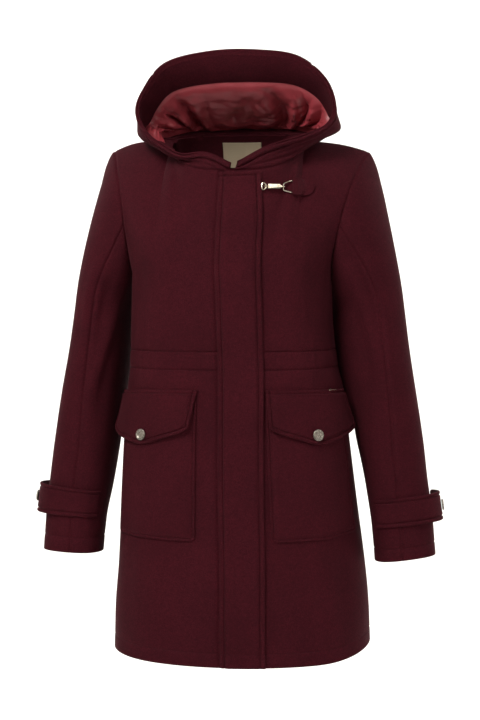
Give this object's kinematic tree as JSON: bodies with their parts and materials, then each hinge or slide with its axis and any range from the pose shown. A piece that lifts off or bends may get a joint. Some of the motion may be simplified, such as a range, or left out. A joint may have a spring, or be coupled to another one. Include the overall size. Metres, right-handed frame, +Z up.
{
  "type": "hooded wool coat",
  "caption": "Mid-thigh hooded wool coat in hollow worn form, with a concealed front under a fly, patch pockets with pointed flaps, buttoned cuff tabs and a hook clasp at the neck.",
  "frame": {"origin": "between the wearer's shoulders, level with the high points of the shoulder seams, where the coat hangs from its wearer", "axes": "+X to the wearer's left, -Y to the front, +Z up"},
  "size_m": [0.6573, 0.287, 0.9698],
  "materials": {
    "wool_melton": "fulled wool melton, matt",
    "lining_satin": "satin lining",
    "label_weave": "plain woven label, bare",
    "button_nickel": "antique nickel",
    "clasp_gold": "pale gold plate"
  },
  "bodies": {
    "root": {"front_right": "wool_melton", "front_left": "wool_melton", "back": "wool_melton", "fly_front": "wool_melton", "upper_sleeve_right": "wool_melton", "under_sleeve_right": "wool_melton", "upper_sleeve_left": "wool_melton", "under_sleeve_left": "wool_melton", "cuff_tab_right": "wool_melton", "cuff_tab_left": "wool_melton", "cuff_button_right": "button_nickel", "cuff_button_left": "button_nickel", "pocket_right": "wool_melton", "pocket_left": "wool_melton", "flap_right": "wool_melton", "flap_left": "wool_melton", "flap_button_right": "button_nickel", "flap_button_left": "button_nickel", "flap_bar": "clasp_gold", "hood_right": "wool_melton", "hood_centre": "wool_melton", "hood_left": "wool_melton", "hood_facing": "wool_melton", "hood_lining": "lining_satin", "neck_band": "wool_melton", "neck_label": "label_weave", "clasp_ring": "clasp_gold", "clasp_hook": "clasp_gold", "clasp_loop": "clasp_gold", "clasp_tab": "wool_melton"}
  },
  "joints": []
}
